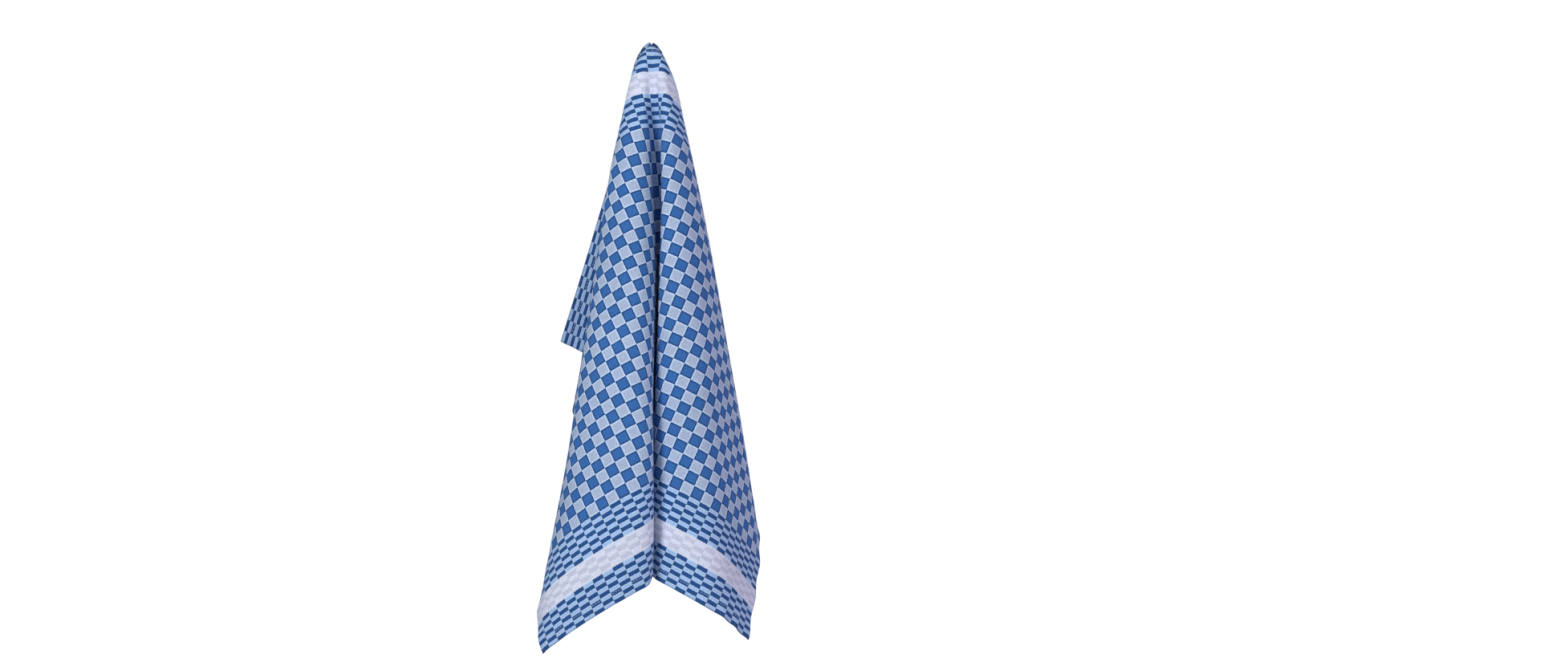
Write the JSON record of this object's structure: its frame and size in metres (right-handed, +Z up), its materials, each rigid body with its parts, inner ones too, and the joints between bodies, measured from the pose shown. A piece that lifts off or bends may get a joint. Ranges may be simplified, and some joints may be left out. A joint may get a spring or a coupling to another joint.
{
  "type": "hanging checked tea towel",
  "caption": "Oblong checked cotton tea towel hung by the middle of a long edge, falling in deep folds to two hanging corners.",
  "frame": {"origin": "the hang point, the middle of the towel's top edge", "axes": "+Z up, the front of the towel faces -Y, +X to the viewer's right"},
  "size_m": [0.2202, 0.2516, 0.5958],
  "materials": {
    "checked_cotton": "woven"
  },
  "bodies": {
    "root": {"towel_cloth": "checked_cotton"}
  },
  "joints": []
}
